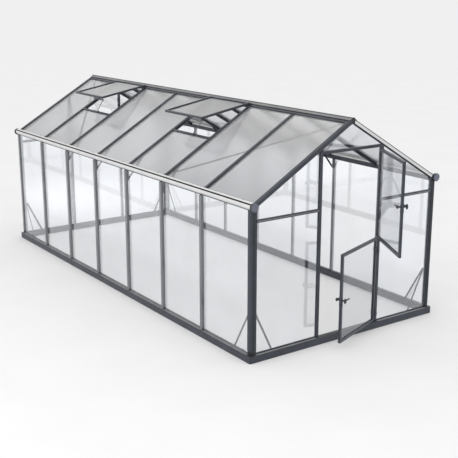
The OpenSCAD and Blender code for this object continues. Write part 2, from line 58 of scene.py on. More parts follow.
# Left and right, as the sign of x.
SIDES = (-1, 1)
# Door gable and rear gable, as the sign of y.
GABLES = (-1, 1)
# The two faces of a leaf, as the sign along its lever's spindle.
FACES = (-1, 1)

# ---- measures of the frame ----


def spans(node, axis, gap=60 * MM):
    """The separate stretches of a CAD node along an axis, as (low, high), from the first to the last."""
    values = sorted({round(v.co[axis], 5) for v in frame["nodes"][node].data.vertices})
    cuts = [i for i in range(1, len(values)) if values[i] - values[i - 1] > gap]
    starts = [0] + cuts
    ends = [i - 1 for i in cuts] + [len(values) - 1]
    return [(values[a], values[b]) for a, b in zip(starts, ends)]


def middle(span):
    return (span[0] + span[1]) / 2


def across(node, axis):
    """Lowest and highest value of a CAD node along an axis."""
    low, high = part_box(node)
    return low[axis], high[axis]


def joint(name):
    """A joint of the frame, by its name."""
    return next(j for j in frame["joints"] if j["name"] == name)


PITCH = math.radians(30.5)
ROOF_TOP = 2166 * MM
ROOF_END = 1308 * MM
ROOF_GLASS = -12 * MM
GLASS_X = middle(across("wall_panes_right", 0))
GABLE_Y = -middle(across("front_gable_panes", 1))
RAFTER_OUT = across("rear_rafter_right", 1)[1]
RAFTER_IN = across("rear_rafter_right", 1)[0] + 10 * MM
POST_WIDTH = 50 * MM
POST_OUT_X = across("corner_posts", 0)[1]
POST_OUT_Y = across("corner_posts", 1)[1]
POST_IN_X = POST_OUT_X - POST_WIDTH
WALL_TOP = across("corner_posts", 2)[1]
SILL_TOP = across("corner_feet", 2)[0]
SILL_X = across("base_frame", 0)[1]
SILL_Y = across("base_frame", 1)[1]
BAR_LINES = [middle(s) for s in spans("wall_bars_right", 1)]
BAR_HALF = across("roof_bars_right", 1)[1] - BAR_LINES[-1]
BAR_FACE = across("wall_bars_right", 0)[1]
GUTTER_RADIUS = 33.5 * MM
GUTTER_AXIS = (middle(across("gutter_right", 0)), across("gutter_right", 2)[1] - GUTTER_RADIUS)
VENT_BAYS = (1, 4)
OPENING = across("door_frame", 0)

# ---- node materials ----

# Indices of the inputs and of the colour output of a Mix node that mixes colours.
MIX_FACTOR, MIX_A, MIX_B, MIX_COLOUR = 0, 6, 7, 2


class Shader:
    """A material while it is wired. node() adds a node, and its inputs are values, nodes or sockets."""

    def __init__(self, name):
        self.material = bpy.data.materials.new(name)
        self.material.use_nodes = True
        self.tree = self.material.node_tree
        self.tree.nodes.clear()

    def node(self, kind, inputs=None, **settings):
        node = self.tree.nodes.new("ShaderNode" + kind)
        for key, value in settings.items():
            setattr(node, key, value)
        for key, value in (inputs or {}).items():
            self.feed(node.inputs[key], value)
        return node

    def feed(self, socket, value):
        if isinstance(value, bpy.types.Node):
            value = value.outputs[0]
        if isinstance(value, bpy.types.NodeSocket):
            self.tree.links.new(value, socket)
        else:
            socket.default_value = value

    def maths(self, operation, a, b=0.0, c=0.0):
        return self.node("Math", {0: a, 1: b, 2: c}, operation=operation)

    def times_plus(self, value, factor, plus):
        return self.maths("MULTIPLY_ADD", value, factor, plus)

    def blend(self, factor, a, b):
        """Colour a where the factor is 0 and colour b where it is 1."""
        inputs = {MIX_FACTOR: factor, MIX_A: a, MIX_B: b}
        return self.node("Mix", inputs, data_type="RGBA").outputs[MIX_COLOUR]

    def layer(self, share, under, over):
        """Surface over on surface under, by its share."""
        return self.node("MixShader", {0: share, 1: under, 2: over})

    def ramp(self, factor, low, high):
        """0 below low and 1 above high."""
        return self.node("MapRange", {"Value": factor, "From Min": low, "From Max": high})

    def place(self, stretch=(1, 1, 1)):
        """Object coordinates, scaled."""
        where = self.node("TexCoord").outputs["Object"]
        return self.node("Mapping", {"Vector": where, "Scale": stretch})

    def axes(self):
        """The x, y and z sockets of the object coordinates."""
        return self.node("SeparateXYZ", {0: self.place()}).outputs

    def noise(self, scale, detail=2.0, stretch=(1, 1, 1), roughness=0.5):
        inputs = {"Vector": self.place(stretch), "Scale": scale, "Detail": detail, "Roughness": roughness}
        return self.node("TexNoise", inputs)

    def clouds(self, dark, light):
        """Slow changes between two tones of a coating."""
        return self.blend(self.ramp(self.noise(5, 4), 0.35, 0.65), dark, light)

    def bump(self, height, strength, distance):
        return self.node("Bump", {"Height": height, "Strength": strength, "Distance": distance})

    def for_lamps(self, seen, clear_tone):
        """The surface as it is seen, but plain clear for shadow rays and diffuse rays."""
        path = self.node("LightPath").outputs
        lamp = self.maths("MAXIMUM", path["Is Shadow Ray"], path["Is Diffuse Ray"])
        return self.layer(lamp, seen, self.node("BsdfTransparent", {"Color": grey(clear_tone)}))

    def done(self, surface):
        self.node("OutputMaterial", {"Surface": surface})
        return self.material


def grey(level, tint=(1, 1, 1)):
    return tuple(level * t for t in tint) + (1,)


def greys(dark, light, tint=(1, 1, 1)):
    """Two greys of one tint, for a coating's clouds."""
    return grey(dark, tint), grey(light, tint)


def coated(name, tones, roughness, grain=0.05 * MM, grain_scale=900, dust=0.0, specular=0.5):
    """Powder coat or moulded plastic: a fine grain, and slow changes of tone and gloss."""
    s = Shader(name)
    colour = s.clouds(*tones)
    if dust:
        patches = s.ramp(s.noise(14, 6, roughness=0.6), 0.5, 0.75)
        colour = s.blend(s.maths("MULTIPLY", patches, dust), colour, grey(0.45, (1, 0.98, 0.94)))
    gloss = s.times_plus(s.noise(30, 3), 0.14, roughness - 0.07)
    fine = s.bump(s.noise(grain_scale, 2), 0.35, grain)
    return s.done(s.node("BsdfPrincipled", {
        "Base Color": colour, "Roughness": gloss, "Normal": fine, "Specular IOR Level": specular}))


def metal(name, tone, roughness, stretch=(1, 1, 1)):
    """Bare metal with drawing marks along it and a slight bloom."""
    s = Shader(name)
    marks = s.noise(160, 3, stretch)
    bloom = s.ramp(s.noise(22, 5), 0.4, 0.7)
    colour = s.blend(bloom, grey(tone, (0.97, 0.985, 1)), grey(tone * 0.82, (0.98, 0.99, 1)))
    rough = s.times_plus(marks, 0.2, roughness - 0.1)
    normal = s.bump(marks, 0.25, 0.05 * MM)
    return s.done(s.node("BsdfPrincipled", {
        "Base Color": colour, "Metallic": 1.0, "Roughness": rough, "Normal": normal}))


def mirror_share(s, head_on=0.045):
    """Share of light that one face of a pane mirrors, with its value for a look straight at the face."""
    facing = s.node("LayerWeight", {"Blend": 0.5}).outputs["Facing"]
    return s.times_plus(s.maths("POWER", facing, 5.0), 1 - head_on, head_on)


def clear_glass(name, mirror_tone):
    """Float glass: clear with a faint cool tint, a little grime, and its own reflections."""
    s = Shader(name)
    grime = s.ramp(s.noise(3, 6, roughness=0.65), 0.45, 0.8)
    tint = s.blend(grime, (0.985, 0.99, 1, 1), (0.96, 0.965, 0.975, 1))
    through = s.node("BsdfTransparent", {"Color": tint})
    waves = s.bump(s.noise(1.6, 1), 0.04, 2 * MM)
    mirror = s.node("BsdfGlossy", {"Color": grey(mirror_tone), "Roughness": 0.02, "Normal": waves})
    seen = s.layer(mirror_share(s, 0.15), through, mirror)
    return s.done(s.for_lamps(seen, 0.97))


def roof_painted_shading(s, level):
    """Painted light and shade on the roof glass: light near the ridge, most so at the front, and painted shade at the
    ends of the eaves.
    """
    _, along, height = s.axes()
    upper = s.ramp(height, EAVE_HEIGHT, RIDGE_HEIGHT)
    front = s.ramp(along, GABLE_DISTANCE, -GABLE_DISTANCE)
    centre = s.ramp(s.maths("ABSOLUTE", s.maths("SUBTRACT", along, 0.6)), 2.4, 0.6)
    eave_painted_shade = s.blend(centre, grey(0.2 * level), grey(0.5 * level))
    ridge_painted_light = s.blend(front, grey(0.6 * level), grey(0.98 * level))
    return s.blend(upper, eave_painted_shade, ridge_painted_light)


def frosted_glass(name, level):
    """Light-diffusing glass: blurs what is behind it, but lets lamps and daylight through."""
    s = Shader(name)
    tint = s.blend(s.ramp(s.noise(2.2, 4), 0.35, 0.7), grey(0.9), grey(0.87))
    grain = s.bump(s.noise(350, 2), 0.2, 0.2 * MM)
    blur = s.node("BsdfRefraction", {"Color": tint, "Roughness": 0.29, "IOR": 1.14, "Normal": grain})
    # Painted light and shade: the haze and veil are lighter near the ridge and at the front, and darker at the eaves,
    # by where they stand.
    tone = roof_painted_shading(s, level)
    haze = s.node("BsdfTranslucent", {"Color": tone})
    veil = s.node("BsdfDiffuse", {"Color": tone})
    body = s.layer(0.22, blur, s.layer(0.5, haze, veil))
    mirror = s.node("BsdfGlossy", {"Color": grey(1), "Roughness": 0.12})
    seen = s.layer(mirror_share(s), body, mirror)
    return s.done(s.for_lamps(seen, 0.88))


def coat_with_painted_reflection(name, tones, share):
    """Powder coat under a gloss layer that mirrors a share of the light. On the bar covers, with a lighter grey than
    the frame and a large share, it is painted reflection of the wall glass over the bars.
    """
    s = Shader(name)
    fine = s.bump(s.noise(700, 2), 0.25, 0.04 * MM)
    base = s.node("BsdfPrincipled", {"Base Color": s.clouds(*tones), "Roughness": 0.45, "Normal": fine})
    marks = s.times_plus(s.noise(24, 4), 0.1, 0.06)
    gloss = s.node("BsdfGlossy", {"Color": grey(1), "Roughness": marks})
    return s.done(s.layer(mirror_share(s, share), base, gloss))


def post_coat(name, tones):
    """Powder coat on the corner posts, glossier towards the rear gable."""
    s = Shader(name)
    fine = s.bump(s.noise(700, 2), 0.25, 0.04 * MM)
    base = s.node("BsdfPrincipled", {"Base Color": s.clouds(*tones), "Roughness": 0.4, "Normal": fine})
    rear = s.ramp(s.axes()[1], 0.0, GABLE_DISTANCE)
    gloss = s.node("BsdfGlossy", {"Color": grey(1), "Roughness": 0.12})
    return s.done(s.layer(s.maths("MULTIPLY", rear, 0.28), base, gloss))


def gutter_coat(name):
    """Light satin coating outside, and a near-black inside that is painted shade."""
    s = Shader(name)
    x, _, z = s.axes()
    dx = s.maths("SUBTRACT", s.maths("ABSOLUTE", x), GUTTER_AXIS[0])
    dz = s.maths("SUBTRACT", z, GUTTER_AXIS[1])
    off = s.maths("SQRT", s.maths("ADD", s.maths("MULTIPLY", dx, dx), s.maths("MULTIPLY", dz, dz)))
    # Painted shade: all of the surface inside the tube's outer skin is near black.
    outside = s.ramp(off, GUTTER_RADIUS - 1.5 * MM, GUTTER_RADIUS - 0.9 * MM)
    skin = s.blend(s.ramp(s.noise(6, 4), 0.35, 0.65), grey(0.66), grey(0.73, (1, 1, 0.99)))
    colour = s.blend(outside, grey(0.012), skin)
    gloss = s.times_plus(s.noise(40, 3), 0.12, 0.3)
    fine = s.bump(s.noise(900, 2), 0.3, 0.04 * MM)
    return s.done(s.node("BsdfPrincipled", {"Base Color": colour, "Roughness": gloss, "Normal": fine}))


ANTHRACITE = greys(0.028, 0.04, (0.84, 1, 1.4))
COOL = (0.9, 1, 1.2)
# Scale of the noise that stretches the drawing marks along z.
ALONG_Z = (1, 1, 0.1)


def make_materials():
    """Every finish, by name."""
    return {
        "frame": coated("frame", ANTHRACITE, 0.4, dust=0.04),
        "post": post_coat("post", ANTHRACITE),
        "gutter": gutter_coat("gutter"),
        # Painted reflection: a lighter grey and a strong mirror, for the wall glass's reflection over the bars.
        "bar_cover_painted_reflection": coat_with_painted_reflection("bar_cover_painted_reflection", greys(0.05, 0.07, COOL), 0.15),
        "channel": coated("channel", greys(0.016, 0.024, COOL), 0.45),
        "bare_aluminium": metal("bare_aluminium", 0.2, 0.42, ALONG_Z),
        "brace": metal("brace", 0.055, 0.42, ALONG_Z),
        "black_plastic": coated("black_plastic", greys(0.012, 0.02), 0.5, grain=0.12 * MM, grain_scale=500),
        # Near black, with little specular: painted shade in the gutter's slot.
        "slot_painted_shade_black": coated("slot_painted_shade_black", greys(0.004, 0.008), 0.7, grain_scale=300, specular=0.1),
        # Painted light: the end caps' domed faces are lighter than their rims, as faces that catch the light.
        "cap_face": coated("cap_face", greys(0.11, 0.14, (0.9, 1, 1.3)), 0.4),
        "lever": metal("lever", 0.08, 0.32),
        "ridge_strip": coated("ridge_strip", greys(0.18, 0.22), 0.45, dust=0.1),
        "light_strip": coated("light_strip", greys(0.62, 0.7), 0.45, grain=0.1 * MM, grain_scale=300),
        # Grey trim: painted light on the sill's top face and a painted highlight along the leaf frames; also the pale
        # line on the gable rails.
        "ledge": coated("ledge", greys(0.2, 0.26, (0.98, 1, 1.03)), 0.45, dust=0.1),
        "wall_glass": clear_glass("wall_glass", 1.0),
        "leaf_glass": clear_glass("leaf_glass", 0.72),
        # The roof panes' haze carries painted light and shade.
        "roof_glass": frosted_glass("roof_glass", 1.0),
        # Painted shade: the vent panes' haze and veil are a quarter as bright as the roof's.
        "vent_glass_painted_shade": frosted_glass("vent_glass_painted_shade", 0.25),
    }


MATERIALS = make_materials()
NODE_FINISHES = {
    "wall_bars_left": "bar_cover_painted_reflection",
    "wall_bars_right": "bar_cover_painted_reflection",
    "knee_braces": "brace",
    "roof_braces": "brace",
    "base_corner_braces": "brace",
    "corner_posts": "post",
    "vent_panes": "vent_glass_painted_shade",
    "lower_leaf_pane": "leaf_glass",
    "upper_leaf_pane": "leaf_glass",
}


def finish_frame_nodes():
    """Gives each CAD node its finish: the one in NODE_FINISHES, or else the one of its record slot."""
    for part in frame["record"]["subparts"]:
        materials = frame["nodes"][part["node"]].data.materials
        materials.clear()
        materials.append(MATERIALS[NODE_FINISHES.get(part["node"], part["material_slot"])])


# ---- building pieces ----

BOX_FACES = ((0, 1, 3, 2), (4, 6, 7, 5), (0, 4, 5, 1), (2, 3, 7, 6), (0, 2, 6, 4), (1, 5, 7, 3))


def add_box(bm, low, high, place=None):
    """Adds a box between two corners, moved by the matrix place."""
    xs, ys, zs = zip(low, high)
    corners = [Vector((x, y, z)) for x in xs for y in ys for z in zs]
    if place:
        corners = [place @ c for c in corners]
    v = [bm.verts.new(c) for c in corners]
    for face in BOX_FACES:
        bm.faces.new([v[i] for i in face])


def mirrored(side=1, end=1):
    """Matrix that takes what is given for the right side and the rear gable to a side and a gable."""
    return Matrix.Diagonal((side, end, 1, 1))


def circle(segments):
    """(cosine, sine) of points round a circle."""
    angles = [2 * math.pi * i / segments for i in range(segments)]
    return [(math.cos(a), math.sin(a)) for a in angles]


def add_skin(bm, rings):
    """Adds a closed skin over rings of points."""
    made = [[bm.verts.new(point) for point in ring] for ring in rings]
    count = len(made[0])
    for a, b in zip(made, made[1:]):
        for i in range(count):
            j = (i + 1) % count
            bm.faces.new((a[i], a[j], b[j], b[i]))
    bm.faces.new(list(reversed(made[0])))
    bm.faces.new(made[-1])


def add_turned(bm, profile, place, segments=16):
    """Adds a turned shape. The profile is a list of (distance along the axis, radius), and the axis is place's z."""
    turns = circle(segments)
    add_skin(bm, [[place @ Vector((radius * c, radius * s, along)) for c, s in turns] for along, radius in profile])


def add_sweep(bm, points, sizes, place, segments=12):
    """Adds an oval bar through points, each with its (half width, half height) across the path in y and z."""
    turns = circle(segments)
    add_skin(bm, [[place @ (Vector(point) + Vector((0, wide * c, high * s))) for c, s in turns]
                  for point, (wide, high) in zip(points, sizes)])


def facing(place, direction):
    """Matrix at place whose z axis points in the direction."""
    return Matrix.Translation(Vector(place)) @ Vector(direction).to_track_quat("Z", "Y").to_matrix().to_4x4()


def add_screw(bm, place, direction, radius=4 * MM):
    """Pan-head screw with a socket."""
    head = [(0, 1), (0.35, 1), (0.6, 0.75), (0.62, 0.4), (0.25, 0.36)]
    add_turned(bm, [(along * radius, wide * radius) for along, wide in head], facing(place, direction), 12)


def piece(name, bm, finish, body="greenhouse", bevel=0.0):
    """Turns a bmesh into a piece that rides on a body."""
    bmesh.ops.recalc_face_normals(bm, faces=bm.faces)
    mesh = bpy.data.meshes.new(name)
    bm.to_mesh(mesh)
    bm.free()
    mesh.materials.append(MATERIALS[finish])
    made = bpy.data.objects.new(name, mesh)
    bpy.context.scene.collection.objects.link(made)
    if bevel:
        edge = made.modifiers.new("edges", "BEVEL")
        edge.width = bevel
        edge.segments = 2
        edge.limit_method = "ANGLE"
    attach(made, body)
    return made


def slope(side):
    """Matrix of a roof slope: x runs down the slope from the apex, y along the building and z off the roof."""
    down = Vector((side * math.cos(PITCH), 0, -math.sin(PITCH)))
    off = Vector((side * math.sin(PITCH), 0, math.cos(PITCH)))
    turn = Matrix((down, Vector((0, 1, 0)), off)).transposed().to_4x4()
    return Matrix.Translation((0, 0, ROOF_TOP)) @ turn


def outward(place):
    """Direction of a matrix's z axis."""
    return place.to_3x3() @ Vector((0, 0, 1))


def bays():
    """(start, end) of each bay along the roof, between the edges of the bars."""
    edges = [-RAFTER_IN + BAR_HALF] + list(BAR_LINES) + [RAFTER_IN - BAR_HALF]
    return [(a + BAR_HALF, b - BAR_HALF) for a, b in zip(edges, edges[1:])]


# ---- roof details ----


def rafter_strips():
    """Light strip on the outer face of the front right and rear left rafters, with a bead along each edge."""
    bm = bmesh.new()
    start, stop = 30 * MM, ROOF_END - 14 * MM
    low, high, bead = -36 * MM, -10 * MM, 3 * MM
    for end, side in ((-1, 1), (1, -1)):
        place = slope(side)
        face = end * RAFTER_OUT
        add_box(bm, (start, face, low), (stop, face + end * 2 * MM, high), place)
        for edge in (low, high - bead):
            add_box(bm, (start, face, edge), (stop, face + end * 3 * MM, edge + bead), place)
    piece("rafter_strips", bm, "light_strip", bevel=0.5 * MM)


def ridge_strips():
    """Grey strip on each flange of the ridge, and the dark closer below it in the bays with no vent."""
    strips, closers = bmesh.new(), bmesh.new()
    length = RAFTER_OUT - 8 * MM
    near, far, lip = 14 * MM, 44 * MM, 4 * MM
    closer_near, cover_near, closer_far = 45 * MM, 60 * MM, 80 * MM
    for side in SIDES:
        place = slope(side)
        add_box(strips, (near, -length, 4 * MM), (far, length, 6 * MM), place)
        add_box(strips, (far - lip, -length, 6 * MM), (far, length, 7 * MM), place)
        for i, (start, end) in enumerate(bays()):
            if side < 0 and i - 1 in VENT_BAYS:
                continue
            add_box(closers, (closer_near, start, -9 * MM), (closer_far, end, -1 * MM), place)
            add_box(closers, (cover_near, start - BAR_HALF, 0.5 * MM), (closer_far, end + BAR_HALF, 4 * MM), place)
    piece("ridge_strips", strips, "ridge_strip", bevel=0.5 * MM)
    piece("ridge_closers", closers, "frame", bevel=0.8 * MM)


def eave_seals():
    """Light stepped seal between the eave beam and the roof glass."""
    bm = bmesh.new()
    x = across("eave_beam_right", 0)[0] + 4 * MM
    top = across("eave_beam_right", 2)[1]
    width, pitch, height, drop = 3 * MM, 4 * MM, 11 * MM, 2.6 * MM
    for side in SIDES:
        for start, end in bays():
            for i in range(3):
                outer = x + i * pitch
                add_box(bm, (outer - width, start, top), (outer, end, top + height - i * drop), mirrored(side))
    piece("eave_seals", bm, "light_strip")


ROOF_SCREWS = [u * MM for u in (90, 370, 650, 930, 1210)]


def roof_screws():
    """Screws down the cover of each roof bar, and a clip at its lower end."""
    screws, clips = bmesh.new(), bmesh.new()
    half, reach, stop = 19 * MM, 22 * MM, ROOF_END + 1.5 * MM
    for side in SIDES:
        place = slope(side)
        for line in BAR_LINES:
            for u in ROOF_SCREWS:
                add_screw(screws, place @ Vector((u, line, 0)), outward(place), 3.5 * MM)
            add_box(clips, (ROOF_END - reach, line - half, 0), (stop, line + half, 2.2 * MM), place)
            add_box(clips, (ROOF_END - 2 * MM, line - half, -15 * MM), (stop, line + half, 2 * MM), place)
    piece("roof_bar_screws", screws, "bare_aluminium")
    piece("roof_bar_clips", clips, "frame", bevel=0.6 * MM)


def glass_clips():
    """Small clips that stop the roof panes sliding down."""
    bm = bmesh.new()
    half, reach, thick = 9 * MM, 16 * MM, 1.2 * MM
    top, bottom = ROOF_GLASS + 2 * MM, ROOF_GLASS - 4 * MM
    for side in SIDES:
        place = slope(side)
        for start, end in bays():
            for share in (0.2, 0.8):
                y = start + share * (end - start)
                add_box(bm, (ROOF_END - reach, y - half, top), (ROOF_END + thick, y + half, top + thick), place)
                add_box(bm, (ROOF_END, y - half, bottom), (ROOF_END + thick, y + half, top + 1 * MM), place)
    piece("roof_glass_clips", bm, "bare_aluminium", bevel=0.4 * MM)


# Degrees above level of the near-black slats that paint shade into the gutter's slot, and the number of their lengths.
SLOT_SHADE_ANGLES = (31, 35, 39, 43, 47)
SLOT_SHADE_LENGTHS = 12


def add_slot_shade_slats(bm, side, length):
    """Adds the near-black slats of painted shade in the gutter's slot, in lengths with a gap of 2 mm between them."""
    step = 2 * length / SLOT_SHADE_LENGTHS
    for i in range(SLOT_SHADE_LENGTHS):
        start = i * step - length
        y = sorted((side * (start + 1 * MM), side * (start + step - 1 * MM)))
        for angle in SLOT_SHADE_ANGLES:
            turn = Matrix.Rotation(-side * math.radians(angle), 4, "Y")
            if side < 0:
                turn = turn @ Matrix.Rotation(math.pi, 4, "Z")
            place = Matrix.Translation((side * GUTTER_AXIS[0], 0, GUTTER_AXIS[1])) @ turn
            add_box(bm, (GUTTER_RADIUS - 1.5 * MM, y[0], -2.5 * MM), (GUTTER_RADIUS + 0.7 * MM, y[1], 2.5 * MM), place)


def gutter_trim():
    """Near-black slats in the gutter's slot as painted shade, and the domed faces and rims of the end caps, the faces
    painted lighter than the rims as painted light.
    """
    slot_shade, faces, rims = bmesh.new(), bmesh.new(), bmesh.new()
    low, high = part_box("gutter_end_caps")
    radius = (high.z - low.z) / 2
    dome = [(0, radius + 3 * MM), (2 * MM, radius + 2.4 * MM), (3.6 * MM, radius * 0.9), (4.4 * MM, radius * 0.5)]
    rim = [(-17 * MM, radius + 2.6 * MM), (-16 * MM, radius + 3.6 * MM),
           (0, radius + 3.6 * MM), (1 * MM, radius + 3 * MM)]
    for side in SIDES:
        add_slot_shade_slats(slot_shade, side, across("gutter_right", 1)[1] - 2 * MM)
        for end in GABLES:
            at = Vector((side * (high.x - radius), end * high.y, high.z - radius))
            add_turned(faces, dome, facing(at, (0, end, 0)), 40)
            add_turned(rims, rim, facing(at, (0, end, 0)), 40)
    piece("gutter_slot_painted_shade", slot_shade, "slot_painted_shade_black")
    piece("gutter_cap_faces_painted_light", faces, "cap_face")
    piece("gutter_cap_rims", rims, "channel")


# ---- wall details ----


def corner_seals():
    """Strip beside each post, outside the gable glass, and a ribbed channel down the post's gable face."""
    strips, ribs = bmesh.new(), bmesh.new()
    width, rib = 19 * MM, 3 * MM
    low, high = SILL_TOP + 38 * MM, WALL_TOP - 6 * MM
    inside = POST_OUT_Y - 1 * MM
    for end in GABLES:
        for side in SIDES:
            place = mirrored(side, end)
            add_box(strips, (POST_IN_X - width, GABLE_Y + 2 * MM, SILL_TOP + 6 * MM),
                    (POST_IN_X, GABLE_Y + 9 * MM, WALL_TOP + 12 * MM), place)
            add_box(ribs, (POST_IN_X + 8 * MM, inside, low),
                    (POST_IN_X + 27 * MM, POST_OUT_Y + 0.6 * MM, high), place)
            for at in (7 * MM, 16 * MM, 25 * MM):
                add_box(ribs, (POST_IN_X + at, inside, low),
                        (POST_IN_X + at + rib, POST_OUT_Y + 1.2 * MM, high), place)
    piece("corner_strips", strips, "frame", bevel=0.8 * MM)
    piece("post_channels", ribs, "channel")


# Top of the grey sheet on the sill's top face: painted light, as the top face is lit from above.
SILL_PAINTED_LIGHT_TOP = SILL_TOP + 1.5 * MM
# (distance outside the glass, height) of the beads beside the wall glass.
WALL_BEADS = ((2.4 * MM, 7 * MM), (-7 * MM, 13 * MM))


def add_sill_painted_light_and_beads(bm, side):
    """Adds the grey sheet on a wall's sill, painted light for its lit top face, and the beads along the wall."""
    outer, inner, bead = SILL_X - 2 * MM, GLASS_X + 7 * MM, 4.6 * MM
    edges = [y for line in BAR_LINES for y in (line - BAR_HALF, line + BAR_HALF)]
    edges = [POST_WIDTH - POST_OUT_Y] + edges + [POST_OUT_Y - POST_WIDTH]
    for start, end in zip(edges[::2], edges[1::2]):
        y = (start + 1 * MM, end - 1 * MM)
        add_box(bm, (inner, y[0], SILL_TOP), (outer, y[1], SILL_PAINTED_LIGHT_TOP), mirrored(side))
        for at, height in WALL_BEADS:
            x = GLASS_X + at
            add_box(bm, (x, y[0], SILL_TOP), (x + bead, y[1], SILL_TOP + height), mirrored(side))


def sill_top_painted_light():
    """Grey sheet on the base frame's top face outside the glass, between the bars' feet, painted light for the top face
    lit from above, with beads along the walls.
    """
    bm = bmesh.new()
    for side in SIDES:
        add_sill_painted_light_and_beads(bm, side)
    near, far, gap = GABLE_Y + 7 * MM, SILL_Y - 3 * MM, 4 * MM
    rear, left, right = (-POST_IN_X, POST_IN_X), (-POST_IN_X, OPENING[0]), (OPENING[1], POST_IN_X)
    for end, (start, stop) in ((1, rear), (-1, left), (-1, right)):
        add_box(bm, (start + gap, near, SILL_TOP), (stop - gap, far, SILL_PAINTED_LIGHT_TOP), mirrored(1, end))
    piece("sill_top_painted_light", bm, "ledge", bevel=0.4 * MM)


def sill_joints():
    """Corner plates on the inner faces of the base frame, with their screws, and the covers of its anchor bolts."""
    plates, screws = bmesh.new(), bmesh.new()
    x, y = GLASS_X - 25 * MM, GABLE_Y - 25 * MM
    low, high, length, thick = 14 * MM, 58 * MM, 70 * MM, 3 * MM
    centre = (low + high) / 2
    for end in GABLES:
        for side in SIDES:
            place = mirrored(side, end)
            add_box(plates, (x - thick, y, low), (x, y - length, high), place)
            add_box(plates, (x, y, low), (x - length, y - thick, high), place)
            for off in (22 * MM, 52 * MM):
                add_screw(screws, place @ Vector((x - thick, y - off, centre)), (-side, 0, 0))
                add_screw(screws, place @ Vector((x - off, y - thick, centre)), (0, -end, 0))
    for side in SIDES:
        for line in BAR_LINES:
            add_screw(screws, (side * SILL_X, line, 30 * MM), (side, 0, 0), 5 * MM)
    piece("sill_plates", plates, "bare_aluminium", bevel=0.8 * MM)
    piece("sill_screws", screws, "bare_aluminium")


WALL_SCREWS = [z * MM for z in (180, 470, 760, 1050, 1340)]
# (x, z) of the bolts at the two ends of a knee brace.
KNEE_BOLTS = ((GLASS_X - 18 * MM, 1335 * MM), (GLASS_X - 203 * MM, 1566 * MM))


def wall_screws():
    """Screws down the cover of each wall bar, and the knee braces' bolts."""
    screws, bolts = bmesh.new(), bmesh.new()
    for side in SIDES:
        for line in BAR_LINES:
            for z in WALL_SCREWS:
                add_screw(screws, (side * BAR_FACE, line, z), (side, 0, 0), 3.5 * MM)
        for line in BAR_LINES[1:-1]:
            for x, z in KNEE_BOLTS:
                add_screw(bolts, (side * x, line + 5 * MM, z), (0, 1, 0), 5 * MM)
    piece("wall_bar_screws", screws, "frame")
    piece("knee_brace_bolts", bolts, "bare_aluminium")


def rail_strips():
    """Pale line along the outer face of each gable rail."""
    bm = bmesh.new()
    z = middle(across("front_gable_rails", 2))
    face, half, thick = GABLE_Y + 12.5 * MM, 3 * MM, 0.8 * MM
    reach = POST_IN_X - 24 * MM
    for end, start, stop in ((-1, -reach, OPENING[0]), (-1, OPENING[1], reach), (1, -reach, reach)):
        add_box(bm, (start, face, z - half), (stop, face + thick, z + half), mirrored(1, end))
    piece("rail_strips", bm, "ledge")


# ---- door details ----

# Half the thickness of a leaf.
LEAF_HALF = 12 * MM


def lever_frame(leaf):
    """Matrix at a lever's spindle: x runs along the leaf to the hinges and y is the spindle."""
    turning, swinging = joint(leaf + "_lever_turn"), joint(leaf + "_leaf_swing")
    at, axis = Vector(turning["pos_m"]), Vector(turning["axis"]).normalized()
    along = Vector(swinging["pos_m"]) - at
    along -= axis * along.dot(axis)
    along.z = 0
    turn = Matrix((along.normalized(), axis, Vector((0, 0, 1)))).transposed().to_4x4()
    return Matrix.Translation(at) @ turn


# (distance off the leaf, radius) of the neck, in mm.
NECK = ((0, 11), (6, 11), (9, 8), (30, 7), (38, 9), (42, 7))
# The same for the hub, but with a radius of 1, and then the hub's half width and half height.
HUB = ((24, 0.5), (26, 1), (37, 1), (40, 0.7))
OUTER_HUB = (17, 25)
INNER_HUB = (11, 17)
# Points of the grip in mm: towards the hinges, off the plane of the grip, and up.
GRIP = ((-8, 0, 0), (0, 0, 0), (26, 0, 1), (56, -3, 0), (96, -8, -3), (104, -9, -4))
# Half thickness and half height of the grip at those points, in mm.
GRIP_SIZES = ((5, 7), (7, 9), (6, 8), (5, 7.5), (5, 8), (3, 5))
# Distance of the plane of the grip from the middle of the leaf, in mm.
GRIP_PLANE = 45


def lever(leaf):
    """A lever handle on each face of a leaf, on one spindle."""
    bm = bmesh.new()
    place = lever_frame(leaf)
    for face in FACES:
        out = place.to_3x3() @ Vector((0, face, 0))
        foot = facing(place @ Vector((0, face * (LEAF_HALF + 1 * MM), 0)), out)
        add_turned(bm, [(along * MM, radius * MM) for along, radius in NECK], foot, 20)
        wide, high = OUTER_HUB if out.y < 0 else INNER_HUB
        add_turned(bm, [(along * MM, radius * MM) for along, radius in HUB],
                   foot @ Matrix.Diagonal((wide, high, 1, 1)), 28)
        points = [(x * MM, face * (GRIP_PLANE + y) * MM, z * MM) for x, y, z in GRIP]
        add_sweep(bm, points, [(a * MM, b * MM) for a, b in GRIP_SIZES], place)
    made = piece(leaf + "_handle", bm, "lever", body=leaf + "_lever", bevel=0.5 * MM)
    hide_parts(leaf + "_leaf_lever")


def lock_plates(leaf):
    """Long plate and lock cylinder under each lever."""
    bm = bmesh.new()
    place = lever_frame(leaf)
    cylinder = [(0, 7 * MM), (3 * MM, 7 * MM), (4 * MM, 5 * MM)]
    front = LEAF_HALF + 2 * MM
    for face in FACES:
        add_box(bm, (-10 * MM, face * LEAF_HALF, -60 * MM), (10 * MM, face * front, 16 * MM), place)
        at = place @ Vector((0, face * front, -42 * MM))
        add_turned(bm, cylinder, facing(at, place.to_3x3() @ Vector((0, face, 0))), 18)
    piece(leaf + "_lock_plates", bm, "black_plastic", body=leaf + "_leaf", bevel=0.8 * MM)


